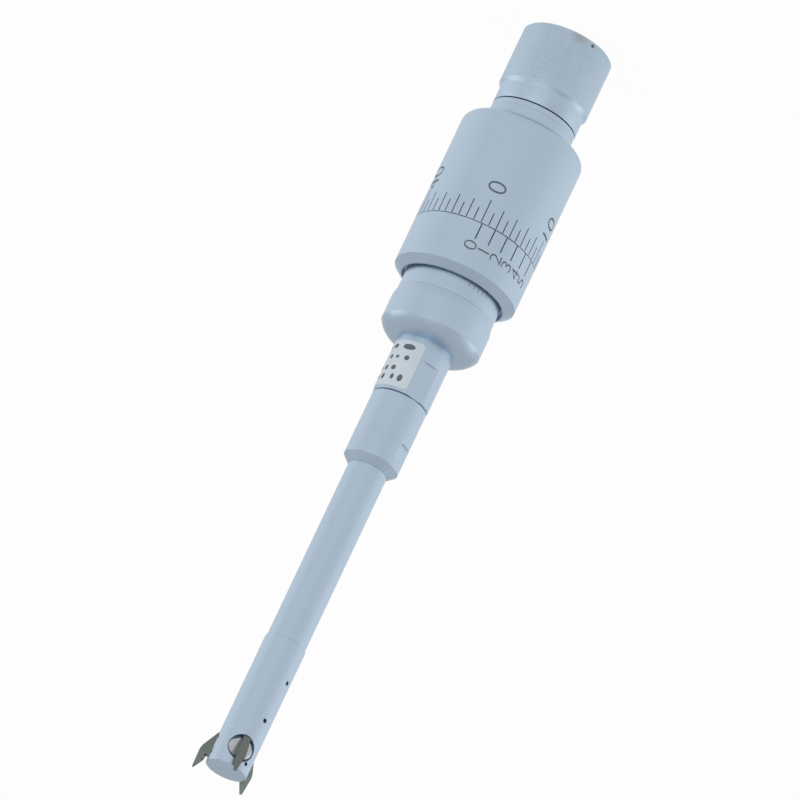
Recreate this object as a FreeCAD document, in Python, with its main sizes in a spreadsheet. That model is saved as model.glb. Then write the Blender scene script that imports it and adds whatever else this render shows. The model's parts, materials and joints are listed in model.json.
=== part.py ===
"""Three-point bore micrometer, standing on its knob with the measuring tip up.

The axis of the instrument is Z. The knob's flat end lies at Z = 0 and the measuring head
is at the top. All sizes are in millimetres and live in the sheet "dims". The heights of
the pieces follow from the lengths of the pieces below them, in PLACES.
"""
import FreeCAD, Part
import math
import os
import re
import Sketcher

SIZES = {
    # ratchet knob
    "knob_radius": 11.25,
    "knob_length": 20.6,
    "grip_length": 15.2,
    "knob_chamfer": 0.7,
    "knob_neck_radius": 10.55,
    "knob_cavity_radius": 8.6,
    "knob_recess_radius": 6.0,
    "knob_recess_depth": 5.0,
    "knob_cavity_depth": 7.6,
    "knob_gap": 0.3,
    # clamp ring and thimble
    "clamp_ring_radius": 10.5,
    "clamp_ring_height": 1.4,
    "drum_wall": 1.67,
    "thimble_length": 33.4,
    "thimble_boss": 3.6,
    "corner_height": 2.6,
    "corner_step": 2.1,
    "thimble_room": 0.62,
    "thimble_floor": 4.2,
    "thimble_hub_radius": 8.0,
    "split_gap": 0.12,
    # vernier ring
    "vernier_length": 11.45,
    "drum_bevel": 1.7,
    "rim_wall": 1.14,
    "rim_room": 0.78,
    "rim_depth": 1.4,
    "spigot_wall": 1.47,
    "spigot_length": 5.8,
    "snap_wire": 0.6,
    "snap_depth": 0.45,
    "snap_inset": 3.7,
    "key_radius": 1.0,
    "key_height": 5.2,
    # reading gap, scale sleeve and collar
    "reading_gap": 4.4,
    "sleeve_radius": 12.08,
    "sleeve_wall": 1.08,
    "sleeve_length": 27.35,
    "boss_length": 15.35,
    "collar_step": 0.45,
    "collar_lead": 2.2,
    "collar_height": 8.38,
    "shoulder_height": 3.22,
    "neck_radius": 7.0,
    "neck_length": 14.63,
    "neck_flat": 0.43,
    "neck_flat_length": 9.4,
    "neck_thread_radius": 5.9,
    "neck_thread_length": 8.9,
    "joint_chamfer": 0.25,
    # lower sleeve
    "clamp_sleeve_radius": 6.86,
    "clamp_sleeve_length": 19.07,
    "clamp_sleeve_flat": 0.45,
    "clamp_flat_length": 4.2,
    "clamp_flat_start": 10.8,
    # extension tube and rod
    "tube_radius": 4.875,
    "tube_length": 48.0,
    "tube_bore_radius": 2.6,
    "spring_bore_radius": 3.3,
    "tube_seat_depth": 10.6,
    "head_spigot_length": 13.4,
    "rod_radius": 1.75,
    "bush_length": 10.0,
    "flange_radius": 2.9,
    "flange_height": 1.5,
    "rod_spring_wire": 0.45,
    "rod_spring_radius": 2.6,
    "rod_spring_turns": 8,
    # screw, nut and ratchet
    "stud_radius": 3.0,
    "taper_small_radius": 4.2,
    "taper_large_radius": 5.0,
    "taper_length": 8.0,
    "thread_radius": 4.0,
    "screw_reach": 13.98,
    "cup_radius": 2.4,
    "nut_radius": 7.0,
    "nut_length": 22.0,
    "nut_overlap": 14.0,
    "nut_slit": 0.8,
    "adjuster_radius": 9.5,
    "adjuster_height": 5.0,
    "screw_room_radius": 4.5,
    "hub_radius": 7.7,
    "hub_height": 2.8,
    "hub_bearing_radius": 4.9,
    "tooth_count": 24,
    "tooth_depth": 0.7,
    "plunger_radius": 1.0,
    "plunger_length": 5.0,
    "plunger_circle": 6.3,
    "ratchet_wire": 0.28,
    "ratchet_spring_length": 3.4,
    "ratchet_spring_turns": 4,
    "end_screw_radius": 1.5,
    "end_screw_length": 7.0,
    "end_screw_head_radius": 4.5,
    "end_screw_head_height": 2.6,
    "end_screw_slot": 0.9,
    "end_play": 0.2,
    # measuring head
    "head_radius": 5.15,
    "head_length": 34.7,
    "head_bore_radius": 3.75,
    "head_end_wall": 1.45,
    "head_edge": 0.12,
    "anvil_inset": 5.05,
    "shank_radius": 3.25,
    "shank_face": 4.5,
    "shank_chamfer": 0.75,
    "anvil_apex": 0.95,
    "ring_drop": 2.4,
    "ring_wire": 0.45,
    "ring_radius": 3.78,
    "ring_room": 0.35,
    "cone_radius": 3.7,
    "cone_mid_radius": 1.9,
    "cone_slope": 0.5,
    "cone_nose": 2.9,
    "cone_guide": 10.7,
    "rod_seat": 6.0,
    # contact blade, heights from the middle of its anvil
    "contact_radius": 7.8,
    "blade_width": 1.9,
    "blade_seat": 3.6,
    "blade_root": 3.05,
    "ramp_radius": 5.2,
    "knee_step": 0.3,
    "knee_height": 1.3,
    "contact_start": 2.7,
    "beak_height": 6.9,
    "beak_tip": 0.2,
    "beak_width": 0.7,
    "notch_radius": 6.2,
    "notch_height": 4.2,
    # small pins, angles in degrees
    "guide_pin_radius": 0.5,
    "guide_pin_height": 2.8,
    "guide_pin_reach": 3.2,
    "guide_pin_angle": 31,
    "key_pin_radius": 0.55,
    "key_pin_height": 13.9,
    "key_pin_reach": 3.0,
    "key_pin_angle": 26.2,
    "lock_pin_radius": 0.55,
    "lock_pin_height": 25.1,
    "lock_pin_reach": 3.0,
    "lock_pin_angle": 43,
    "pin_sink": 0.03,
    # label and the angles that pieces are turned by
    "label_thickness": 0.12,
    "label_margin": 0.75,
    "label_start": -76,
    "label_sweep": 95,
    "neck_flat_angle": 78.5,
    "clamp_flat_angle": 44,
    # motion and fits
    "travel_up": 0.4,
    "travel_down": 1.6,
    "running_fit": 0.05,
    "thread_fit": 0.04,
    "slip": 0.1,
}

PLACES = {
    # radii that follow from the scale sleeve, from the bore outwards
    "sleeve_bore": "sleeve_radius - sleeve_wall",
    "vernier_bore": "sleeve_radius + running_fit",
    "spigot_radius": "vernier_bore + spigot_wall",
    "drum_radius": "spigot_radius + slip + drum_wall",
    "rim_radius": "vernier_bore + rim_wall",
    "thimble_bore": "sleeve_radius + thimble_room",
    "collar_radius": "sleeve_radius + collar_step",
    # knob and ratchet, from the flat end up
    "web_top": "knob_length - knob_cavity_depth",
    "stud_end": "knob_recess_depth - end_play",
    "ring_bottom": "knob_length + knob_gap",
    "thimble_bottom": "ring_bottom + clamp_ring_height",
    "plunger_tip": "web_top + 2 * slip + 2",
    "tooth_tip": "plunger_tip + slip",
    "tooth_root": "tooth_tip + tooth_depth",
    "hub_top": "tooth_root + hub_height",
    "plunger_foot": "plunger_tip - plunger_length",
    "plunger_hole": "plunger_foot - ratchet_spring_length",
    # drum
    "taper_top": "thimble_bottom + taper_length",
    "shoulder_level": "thimble_bottom + thimble_boss",
    "corner_top": "shoulder_level + corner_height",
    "thimble_top": "thimble_bottom + thimble_length",
    "vernier_bottom": "thimble_top + split_gap",
    "spigot_end": "vernier_bottom - spigot_length",
    "spigot_room": "spigot_end - 3 * slip",
    "snap_bottom": "vernier_bottom - snap_inset",
    "bevel_bottom": "vernier_bottom + vernier_length",
    "rim": "bevel_bottom + drum_bevel",
    "key_axis": "vernier_bottom + key_height",
    # frame
    "collar_bottom": "rim + reading_gap",
    "collar_top": "collar_bottom + collar_height",
    "neck_bottom": "collar_top + shoulder_height",
    "neck_top": "neck_bottom + neck_length",
    "thread_top": "neck_top + neck_thread_length",
    "tube_end": "neck_top - tube_seat_depth",
    "sleeve_bottom": "collar_bottom - sleeve_length",
    "boss_bottom": "collar_bottom - boss_length",
    "nut_top": "boss_bottom + nut_overlap",
    "nut_bottom": "nut_top - nut_length",
    "bevel_height": "clamp_sleeve_radius - tube_radius",
    "clamp_top": "neck_top + clamp_sleeve_length",
    "head_bottom": "clamp_top + tube_length",
    "spigot_top": "head_bottom + head_spigot_length",
    "head_end": "head_bottom + head_length",
    "bore_end": "head_end - head_end_wall",
    "anvil_axis": "head_end - anvil_inset",
    # screw and rod
    "screw_top": "nut_top + screw_reach",
    "nose_centre": "screw_top - cup_radius + (rod_radius + thread_fit) * sqrt(2)",
    "flange_bottom": "nose_centre + 4",
    "flange_top": "flange_bottom + flange_height",
    "spring_seat": "clamp_top - clamp_sleeve_length + neck_thread_length",
    "cone_bottom": "cone_base - cone_guide",
    "cone_base": "anvil_axis - (cone_radius - cone_mid_radius) / cone_slope",
    "cone_tip": "anvil_axis + cone_nose",
    "cone_tip_radius": "cone_mid_radius - cone_nose * cone_slope",
    "rod_top": "cone_bottom + rod_seat",
    "ring_level": "anvil_axis - ring_drop",
    "key_pin_level": "head_end - key_pin_height",
}

ANVIL_ANGLES = (-90, 30, 150)
WIRE_SIDES = 4

doc = FreeCAD.newDocument("bore_micrometer")
sheet = doc.addObject("Spreadsheet::Sheet", "dims")
parts = []


def fill_sheet():
    """Write each size into its own cell, with its name as the alias."""
    for row, (name, value) in enumerate(SIZES.items(), start=1):
        sheet.set(f"A{row}", name)
        sheet.set(f"B{row}", str(value))
        sheet.setAlias(f"B{row}", name)
    doc.recompute()


def bound(formula):
    """Turn a formula in the names of sizes and places into one that reads the sheet."""
    def swap(match):
        word = match.group()
        if word in SIZES:
            return "dims." + word
        if word in PLACES:
            return "(" + bound(PLACES[word]) + ")"
        return word
    return re.sub(r"[a-z][a-z_]*", swap, str(formula))


def value(formula):
    """The number that a formula gives with the sizes in the sheet."""
    result = sheet.evalExpression(bound(formula).replace("dims.", ""))
    return float(result)


def bind(thing, path, formula):
    """Bind one property of a document object to a formula."""
    thing.setExpression(path, bound(formula))


def part(thing, label):
    """Name a finished piece, so that it is written as a node."""
    thing.Label = label
    parts.append(thing)
    return thing


def origin_plane(body, role):
    """One of the body's own origin planes."""
    return next(item for item in body.Origin.OriginFeatures if item.Role == role)


def new_sketch(body, name, role="XZ_Plane"):
    """A sketch on one of the body's own origin planes."""
    sketch = body.newObject("Sketcher::SketchObject", name)
    sketch.AttachmentSupport = [(origin_plane(body, role), "")]
    sketch.MapMode = "FlatFace"
    return sketch


def pin_point(sketch, edge, end, across, up):
    """Hold one end of an edge at its formulas, measured from the sketch's origin."""
    for kind, axis, formula in (("DistanceX", -2, across), ("DistanceY", -1, up)):
        if formula == "0":
            sketch.addConstraint(Sketcher.Constraint("PointOnObject", edge, end, axis))
            continue
        distance = value(formula)
        index = sketch.addConstraint(Sketcher.Constraint(kind, -1, 1, edge, end, distance))
        bind(sketch, f"Constraints[{index}]", formula)


def arc_between(start, end, radius):
    """An arc of the given radius that bulges to the right of the way from start to end."""
    chord = end - start
    middle = start + chord * 0.5
    side = FreeCAD.Vector(chord.y, -chord.x, 0).normalize()
    depth = math.sqrt(max(radius ** 2 - (chord.Length / 2) ** 2, 0))
    bulge = abs(radius) - depth
    if radius < 0:
        bulge = -bulge
    return Part.Arc(start, middle + side * bulge, end)


def tangent_round(step, height):
    """The radius of an arc over a step and a height that leaves its end across the step squarely."""
    return f"((({step}) ^ 2 + ({height}) ^ 2) / (2 * ({step})))"


def draw_outline(sketch, outline):
    """Draw a closed outline. Each point is (across, up) or (across, up, radius).

    A radius makes the edge that arrives at the point an arc. Walking the outline with the
    solid on the left, a positive radius bulges outwards and a negative one is a fillet.
    """
    count = len(outline)
    spots = [FreeCAD.Vector(value(point[0]), value(point[1]), 0) for point in outline]
    for index in range(count):
        after = (index + 1) % count
        target = outline[after]
        if len(target) == 3:
            radius = value(target[2])
            sketch.addGeometry(arc_between(spots[index], spots[after], radius), False)
        else:
            sketch.addGeometry(Part.LineSegment(spots[index], spots[after]), False)
    for index in range(count):
        edge_end = sketch_end(sketch, index, spots[(index + 1) % count])
        next_start = sketch_end(sketch, (index + 1) % count, spots[(index + 1) % count])
        link = Sketcher.Constraint("Coincident", index, edge_end, (index + 1) % count, next_start)
        sketch.addConstraint(link)
    for index, point in enumerate(outline):
        pin_point(sketch, index, sketch_end(sketch, index, spots[index]), point[0], point[1])
        target = outline[(index + 1) % count]
        if len(target) == 3:
            radius = abs(value(target[2]))
            hold = sketch.addConstraint(Sketcher.Constraint("Radius", index, radius))
            bind(sketch, f"Constraints[{hold}]", f"abs({target[2]})")


def sketch_end(sketch, edge, spot):
    """1 or 2, the end of the edge that lies at the spot."""
    first = sketch.getPoint(edge, 1)
    second = sketch.getPoint(edge, 2)
    return 1 if first.distanceToPoint(spot) < second.distanceToPoint(spot) else 2


def turned(name, outline, angle="360"):
    """A body turned about Z from an outline of (radius, height) formulas."""
    body = doc.addObject("PartDesign::Body", name)
    sketch = new_sketch(body, name + "_outline")
    draw_outline(sketch, outline)
    turn = body.newObject("PartDesign::Revolution", name + "_turned")
    turn.Profile = sketch
    turn.ReferenceAxis = (sketch, ["V_Axis"])
    bind(turn, "Angle", angle)
    body.Tip = turn
    return body


def cut_through(body, name, outlines, role="XZ_Plane", length=None, reverse=False):
    """Cut closed outlines through a body, both ways or one way over a length."""
    sketch = new_sketch(body, name + "_outline", role)
    for outline in outlines:
        draw_island(sketch, outline)
    pocket = body.newObject("PartDesign::Pocket", name)
    pocket.Profile = sketch
    if length is None:
        pocket.Type = "ThroughAll"
        pocket.Midplane = True
    else:
        pocket.Type = "Length"
        pocket.Reversed = reverse
        bind(pocket, "Length", length)
    body.Tip = pocket
    return pocket


def draw_island(sketch, outline):
    """Draw one more closed outline of straight edges in a sketch."""
    first = sketch.GeometryCount
    count = len(outline)
    spots = [FreeCAD.Vector(value(across), value(up), 0) for across, up in outline]
    for index in range(count):
        sketch.addGeometry(Part.LineSegment(spots[index], spots[(index + 1) % count]), False)
    for index in range(count):
        after = first + (index + 1) % count
        sketch.addConstraint(Sketcher.Constraint("Coincident", first + index, 2, after, 1))
    for index, (across, up) in enumerate(outline):
        pin_point(sketch, first + index, 1, across, up)


def rectangle(left, right, bottom, top):
    """The outline of a rectangle, for draw_island."""
    return [(left, bottom), (right, bottom), (right, top), (left, top)]


def around(body, feature, count):
    """Repeat a body's feature evenly about the Z axis."""
    pattern = body.newObject("PartDesign::PolarPattern", feature.Name + "_pattern")
    pattern.Originals = [feature]
    axis = next(item for item in body.Origin.OriginFeatures if item.Role == "Z_Axis")
    pattern.Axis = (axis, [""])
    pattern.Angle = 360
    bind(pattern, "Occurrences", count)
    body.Tip = pattern
    return pattern


def turn_about_axis(thing, angle):
    """Turn a piece about Z by an angle in degrees."""
    thing.Placement.Rotation = FreeCAD.Rotation(FreeCAD.Vector(0, 0, 1), 0)
    bind(thing, "Placement.Rotation.Angle", angle)


def rod(name, radius, near, far, height, angle):
    """A cylinder that points outwards from the axis, from one radius to another."""
    pin = doc.addObject("Part::Cylinder", name)
    bind(pin, "Radius", radius)
    bind(pin, "Height", f"({far}) - ({near})")
    aim = FreeCAD.Rotation(FreeCAD.Vector(0, 0, 1), FreeCAD.Vector(1, 0, 0))
    spin = FreeCAD.Rotation(FreeCAD.Vector(0, 0, 1), value(angle))
    pin.Placement = FreeCAD.Placement(FreeCAD.Vector(0, 0, 0), spin * aim)
    bind(pin, "Placement.Base.x", f"({near}) * cos({angle})")
    bind(pin, "Placement.Base.y", f"({near}) * sin({angle})")
    bind(pin, "Placement.Base.z", height)
    return pin


def cut(name, base, *tools):
    """The base with the tools cut away."""
    result = base
    for index, tool in enumerate(tools):
        step = doc.addObject("Part::Cut", f"{name}_cut_{index}")
        step.Base = result
        step.Tool = tool
        result = step
    return result


def group(name, pieces):
    """Several like solids in one node."""
    together = doc.addObject("Part::Compound", name)
    together.Links = pieces
    return together


def coil(name, wire, radius, bottom, top, turns, across="0"):
    """A compression spring of square wire between two heights, beside the axis if asked."""
    helix = doc.addObject("Part::Helix", name + "_path")
    bind(helix, "Radius", radius)
    bind(helix, "Height", f"({top}) - ({bottom}) - {wire} - 2 * slip")
    bind(helix, "Pitch", f"(({top}) - ({bottom}) - {wire} - 2 * slip) / {turns}")
    section = doc.addObject("Part::RegularPolygon", name + "_wire")
    section.Polygon = WIRE_SIDES
    bind(section, "Circumradius", f"{wire} / 2")
    section.Placement.Rotation = FreeCAD.Rotation(FreeCAD.Vector(1, 0, 0), 90)
    bind(section, "Placement.Base.x", radius)
    doc.recompute()
    spring = doc.addObject("Part::Sweep", name)
    spring.Sections = [section]
    spring.Spine = (helix, [f"Edge{index + 1}" for index in range(len(helix.Shape.Edges))])
    spring.Solid = True
    spring.Frenet = True
    bind(spring, "Placement.Base.x", across)
    bind(spring, "Placement.Base.z", f"({bottom}) + {wire} / 2 + slip")
    return spring


def make_knob():
    """The knurled knob with its smooth neck, its cavity for the hub and its end recess."""
    slope = "grip_length + 1.5 * (knob_radius - knob_neck_radius)"
    knob = turned("knob_blank", [
        ("knob_recess_radius", "0"),
        ("knob_radius - knob_chamfer", "0"),
        ("knob_radius", "knob_chamfer"),
        ("knob_radius", "grip_length"),
        ("knob_neck_radius", slope),
        ("knob_neck_radius", "knob_length"),
        ("knob_cavity_radius", "knob_length"),
        ("knob_cavity_radius", "web_top"),
        ("stud_radius + running_fit", "web_top"),
        ("stud_radius + running_fit", "knob_recess_depth"),
        ("knob_recess_radius", "knob_recess_depth"),
    ])
    hole = doc.addObject("Part::Cylinder", "plunger_hole")
    bind(hole, "Radius", "plunger_radius + running_fit")
    bind(hole, "Height", "web_top - plunger_hole + 1")
    bind(hole, "Placement.Base.x", "plunger_circle")
    bind(hole, "Placement.Base.z", "plunger_hole")
    part(cut("knob", knob, hole), "ratchet_knob")
    plunger = turned("ratchet_plunger", [
        ("0", "plunger_foot"),
        ("plunger_radius", "plunger_foot"),
        ("plunger_radius", "plunger_tip - plunger_radius"),
        ("plunger_radius / 4", "plunger_tip"),
        ("0", "plunger_tip"),
    ])
    bind(plunger, "Placement.Base.x", "plunger_circle")
    part(plunger, "ratchet_plunger")
    coil_radius = "(plunger_radius - ratchet_wire / 2 - running_fit)"
    spring = coil("ratchet_coil", "ratchet_wire", coil_radius, "plunger_hole", "plunger_foot",
                  "ratchet_spring_turns", "plunger_circle")
    part(spring, "ratchet_spring")


def make_ratchet():
    """The toothed hub on the stud and the screw that keeps the knob on."""
    hub = turned("ratchet_hub", [
        ("stud_radius", "tooth_root"),
        ("hub_bearing_radius", "tooth_root"),
        ("hub_bearing_radius", "tooth_tip"),
        ("hub_radius", "tooth_tip"),
        ("hub_radius", "hub_top"),
        ("stud_radius", "hub_top"),
    ])
    half_gap = "hub_radius * tan(180 / tooth_count) * 0.45"
    gap = cut_through(hub, "tooth_gap", [[
        (f"-{half_gap}", "tooth_tip - slip"),
        (half_gap, "tooth_tip - slip"),
        (half_gap, "tooth_root - slip"),
    ]], "YZ_Plane", "hub_radius + 1", True)
    around(hub, gap, "tooth_count")
    part(hub, "ratchet_hub")
    screw = turned("ratchet_screw", [
        ("0", "stud_end - end_screw_head_height"),
        ("end_screw_head_radius - 4 * slip", "stud_end - end_screw_head_height"),
        ("end_screw_head_radius", "stud_end - end_screw_head_height + 4 * slip"),
        ("end_screw_head_radius", "stud_end"),
        ("end_screw_radius", "stud_end"),
        ("end_screw_radius", "stud_end + end_screw_length"),
        ("0", "stud_end + end_screw_length"),
    ])
    cut_through(screw, "screwdriver_slot", [rectangle(
        "-end_screw_slot / 2", "end_screw_slot / 2",
        "stud_end - end_screw_head_height - 1", "stud_end - end_screw_head_height / 2")])
    part(screw, "ratchet_screw")


def make_thimble():
    """The rotating drum, the ring that clamps it and the measuring screw."""
    ring = turned("thimble_clamp_ring", [
        ("stud_radius", "ring_bottom"),
        ("clamp_ring_radius", "ring_bottom"),
        ("clamp_ring_radius", "thimble_bottom"),
        ("stud_radius", "thimble_bottom"),
    ])
    part(ring, "thimble_clamp_ring")
    groove_radius = "spigot_radius + snap_depth + slip"
    corner_round = tangent_round("corner_step", "corner_height")
    thimble = turned("thimble", [
        ("taper_small_radius", "thimble_bottom"),
        ("clamp_ring_radius", "thimble_bottom"),
        ("clamp_ring_radius", "shoulder_level"),
        ("drum_radius - corner_step", "shoulder_level"),
        ("drum_radius", "corner_top", corner_round),
        ("drum_radius", "thimble_top - slip"),
        ("drum_radius - slip", "thimble_top"),
        ("spigot_radius + slip", "thimble_top"),
        ("spigot_radius + slip", "snap_bottom + snap_wire + running_fit"),
        (groove_radius, "snap_bottom + snap_wire + running_fit"),
        (groove_radius, "snap_bottom - running_fit"),
        ("spigot_radius + slip", "snap_bottom - running_fit"),
        ("spigot_radius + slip", "spigot_room"),
        ("thimble_bore", "spigot_room"),
        ("thimble_bore", "taper_top"),
        ("thimble_hub_radius + 1", "thimble_bottom + thimble_floor"),
        ("thimble_hub_radius", "thimble_bottom + thimble_floor"),
        ("thimble_hub_radius", "taper_top"),
        ("taper_large_radius", "taper_top"),
    ])
    part(thimble, "thimble")
    screw = turned("micrometer_screw", [
        ("end_screw_radius", "stud_end"),
        ("stud_radius", "stud_end"),
        ("stud_radius", "thimble_bottom"),
        ("taper_small_radius", "thimble_bottom"),
        ("taper_large_radius", "taper_top"),
        ("taper_large_radius", "taper_top + 1"),
        ("thread_radius", "taper_top + 2"),
        ("thread_radius", "screw_top - (thread_radius - cup_radius) / 2"),
        ("(thread_radius + cup_radius) / 2", "screw_top"),
        ("cup_radius", "screw_top"),
        ("0", "screw_top - cup_radius"),
        ("0", "stud_end + end_screw_length"),
        ("end_screw_radius", "stud_end + end_screw_length"),
    ])
    part(screw, "micrometer_screw")


def make_vernier():
    """The ring with the vernier, which slides but doesn't turn, its key and its snap ring."""
    groove_floor = "spigot_radius - snap_depth"
    ring = turned("vernier_blank", [
        ("vernier_bore", "spigot_end"),
        ("spigot_radius", "spigot_end"),
        ("spigot_radius", "snap_bottom - thread_fit"),
        (groove_floor, "snap_bottom - thread_fit"),
        (groove_floor, "snap_bottom + snap_wire + thread_fit"),
        ("spigot_radius", "snap_bottom + snap_wire + thread_fit"),
        ("spigot_radius", "vernier_bottom"),
        ("drum_radius - slip", "vernier_bottom"),
        ("drum_radius", "vernier_bottom + slip"),
        ("drum_radius", "bevel_bottom"),
        ("rim_radius", "rim"),
        ("vernier_bore + rim_room", "rim"),
        ("vernier_bore + rim_room", "rim - rim_depth"),
        ("vernier_bore", "rim - rim_depth"),
    ])
    hole = rod("vernier_key_hole", "key_radius", "sleeve_radius - 1", "drum_radius + 1", "key_axis", "90")
    part(cut("vernier", ring, hole), "vernier_ring")
    key_tip = "sleeve_radius - sleeve_wall / 2"
    key = rod("vernier_key", "key_radius", key_tip, "drum_radius - slip", "key_axis", "90")
    part(key, "vernier_key_screw")
    wire = turned("snap_wire_ring", [
        (groove_floor, "snap_bottom"),
        ("spigot_radius + snap_depth", "snap_bottom"),
        ("spigot_radius + snap_depth", "snap_bottom + snap_wire"),
        (groove_floor, "snap_bottom + snap_wire"),
    ])
    gap = doc.addObject("Part::Box", "snap_ring_gap")
    bind(gap, "Length", "spigot_radius + 1")
    bind(gap, "Width", "3 * snap_wire")
    bind(gap, "Height", "snap_wire + 1")
    bind(gap, "Placement.Base.y", "-1.5 * snap_wire")
    bind(gap, "Placement.Base.z", "snap_bottom - 0.5")
    part(cut("snap_ring", wire, gap), "vernier_snap_ring")


def make_frame():
    """The collar body with its neck, the scale sleeve and the nut of the measuring screw."""
    shoulder_round = tangent_round("shoulder_height", "collar_radius - neck_radius")
    body = turned("collar_body", [
        ("nut_radius", "boss_bottom"),
        ("sleeve_bore", "boss_bottom"),
        ("sleeve_bore", "collar_bottom"),
        ("sleeve_radius", "collar_bottom"),
        ("collar_radius", "collar_bottom + collar_lead"),
        ("collar_radius", "collar_top"),
        ("neck_radius", "neck_bottom", shoulder_round),
        ("neck_radius", "neck_top - joint_chamfer"),
        ("neck_radius - joint_chamfer", "neck_top"),
        ("neck_thread_radius", "neck_top"),
        ("neck_thread_radius", "thread_top"),
        ("tube_radius", "thread_top"),
        ("tube_radius", "tube_end"),
        ("screw_room_radius", "tube_end"),
        ("screw_room_radius", "nut_top"),
        ("nut_radius", "nut_top"),
    ])
    flat = "neck_radius - neck_flat"
    cut_through(body, "neck_flats", [
        rectangle(flat, "neck_radius + 1", "neck_top - neck_flat_length", "neck_top + slip"),
        rectangle("-neck_radius - 1", f"-({flat})", "neck_top - neck_flat_length", "neck_top + slip"),
    ])
    turn_about_axis(body, "neck_flat_angle")
    part(body, "collar_body")
    sleeve = turned("scale_sleeve", [
        ("sleeve_bore", "sleeve_bottom"),
        ("sleeve_radius", "sleeve_bottom"),
        ("sleeve_radius", "collar_bottom"),
        ("sleeve_bore", "collar_bottom"),
    ])
    half_slot = "key_radius + running_fit"
    cut_through(sleeve, "key_slot", [rectangle(
        f"-({half_slot})", half_slot,
        f"key_axis - travel_down - {half_slot} - slip",
        f"key_axis + travel_up + {half_slot} + slip")], "XZ_Plane", "sleeve_radius + 1")
    part(sleeve, "scale_sleeve")
    nut = turned("spindle_nut", [
        ("thread_radius + thread_fit", "nut_bottom"),
        ("nut_radius - 2 * slip", "nut_bottom"),
        ("nut_radius", "nut_bottom + 2 * slip"),
        ("nut_radius", "nut_top"),
        ("thread_radius + thread_fit", "nut_top"),
    ])
    cut_through(nut, "nut_slit", [rectangle(
        "-nut_slit / 2", "nut_slit / 2", "nut_bottom - 1", "boss_bottom - slip")])
    part(nut, "spindle_nut")
    ring_bottom = "nut_bottom + slip"
    adjuster = turned("adjusting_nut", [
        ("nut_radius", ring_bottom),
        ("adjuster_radius", ring_bottom),
        ("adjuster_radius", f"{ring_bottom} + adjuster_height"),
        ("nut_radius", f"{ring_bottom} + adjuster_height"),
    ])
    notch = cut_through(adjuster, "spanner_notch", [rectangle(
        "-nut_slit", "nut_slit", f"{ring_bottom} - 1", f"{ring_bottom} + 1")])
    around(adjuster, notch, "2")
    part(adjuster, "adjusting_nut")


def make_tube():
    """The clamping sleeve, the extension tube, the push rod with its bush and its spring."""
    sleeve = turned("lower_sleeve", [
        ("neck_thread_radius", "neck_top + slip"),
        ("clamp_sleeve_radius - joint_chamfer", "neck_top + slip"),
        ("clamp_sleeve_radius", "neck_top + slip + joint_chamfer"),
        ("clamp_sleeve_radius", "clamp_top - bevel_height"),
        ("tube_radius + slip", "clamp_top - slip"),
        ("tube_radius", "clamp_top - slip"),
        ("tube_radius", "thread_top + slip"),
        ("neck_thread_radius", "thread_top + slip"),
    ])
    flat = "clamp_sleeve_radius - clamp_sleeve_flat"
    start = "neck_top + clamp_flat_start"
    cut_through(sleeve, "clamp_flats", [
        rectangle(flat, "clamp_sleeve_radius + 1", start, f"{start} + clamp_flat_length"),
        rectangle("-clamp_sleeve_radius - 1", f"-({flat})", start, f"{start} + clamp_flat_length"),
    ])
    turn_about_axis(sleeve, "clamp_flat_angle")
    part(sleeve, "lower_sleeve")
    tube = turned("tube_blank", [
        ("spring_bore_radius", "tube_end"),
        ("tube_radius", "tube_end"),
        ("tube_radius", "head_bottom"),
        ("head_bore_radius", "head_bottom"),
        ("head_bore_radius", "spigot_top"),
        ("tube_bore_radius", "spigot_top"),
        ("tube_bore_radius", "spring_seat"),
        ("spring_bore_radius", "spring_seat"),
    ])
    hole = rod("tube_pin_hole", "lock_pin_radius", "lock_pin_reach", "head_radius",
               "head_end - lock_pin_height", "-90 - lock_pin_angle")
    part(cut("tube", tube, hole), "extension_tube")
    bush = turned("rod_bush", [
        ("rod_radius + running_fit", "spigot_top - bush_length"),
        ("tube_bore_radius", "spigot_top - bush_length"),
        ("tube_bore_radius", "spigot_top"),
        ("rod_radius + running_fit", "spigot_top"),
    ])
    part(bush, "rod_bush")
    stem = turned("push_rod", [
        ("0", "nose_centre - rod_radius"),
        ("rod_radius", "nose_centre", "rod_radius"),
        ("rod_radius", "flange_bottom"),
        ("flange_radius", "flange_bottom"),
        ("flange_radius", "flange_top"),
        ("rod_radius", "flange_top"),
        ("rod_radius", "rod_top"),
        ("0", "rod_top"),
    ])
    part(stem, "push_rod")
    spring = coil("rod_coil", "rod_spring_wire", "rod_spring_radius", "flange_top", "spring_seat",
                  "rod_spring_turns")
    part(spring, "rod_return_spring")


def make_cone():
    """The cone that spreads the anvils, with the keyway that stops it from turning."""
    cone = turned("cone_blank", [
        ("rod_radius", "cone_bottom"),
        ("cone_radius", "cone_bottom"),
        ("cone_radius", "cone_base"),
        ("cone_tip_radius", "cone_tip"),
        ("0", "cone_tip"),
        ("0", "rod_top"),
        ("rod_radius", "rod_top"),
    ])
    half_width = "key_pin_radius + running_fit"
    cut_through(cone, "keyway", [rectangle(
        f"-({half_width})", half_width,
        f"key_pin_level - travel_up - {half_width} - slip",
        f"key_pin_level + travel_down + {half_width} + slip")], "XZ_Plane", "cone_radius + 1", True)
    keyway_floor = turned("keyway_floor", [
        ("0", "cone_bottom"),
        ("key_pin_reach - slip", "cone_bottom"),
        ("key_pin_reach - slip", "cone_base"),
        ("0", "cone_base"),
    ])
    turn_about_axis(cone, "-key_pin_angle")
    bore = doc.addObject("Part::Cylinder", "rod_socket")
    bind(bore, "Radius", "rod_radius")
    bind(bore, "Height", "rod_seat")
    bind(bore, "Placement.Base.z", "cone_bottom")
    filled = doc.addObject("Part::Fuse", "cone_filled")
    filled.Base = cone
    filled.Tool = keyway_floor
    part(cut("cone", filled, bore), "measuring_cone")


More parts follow.
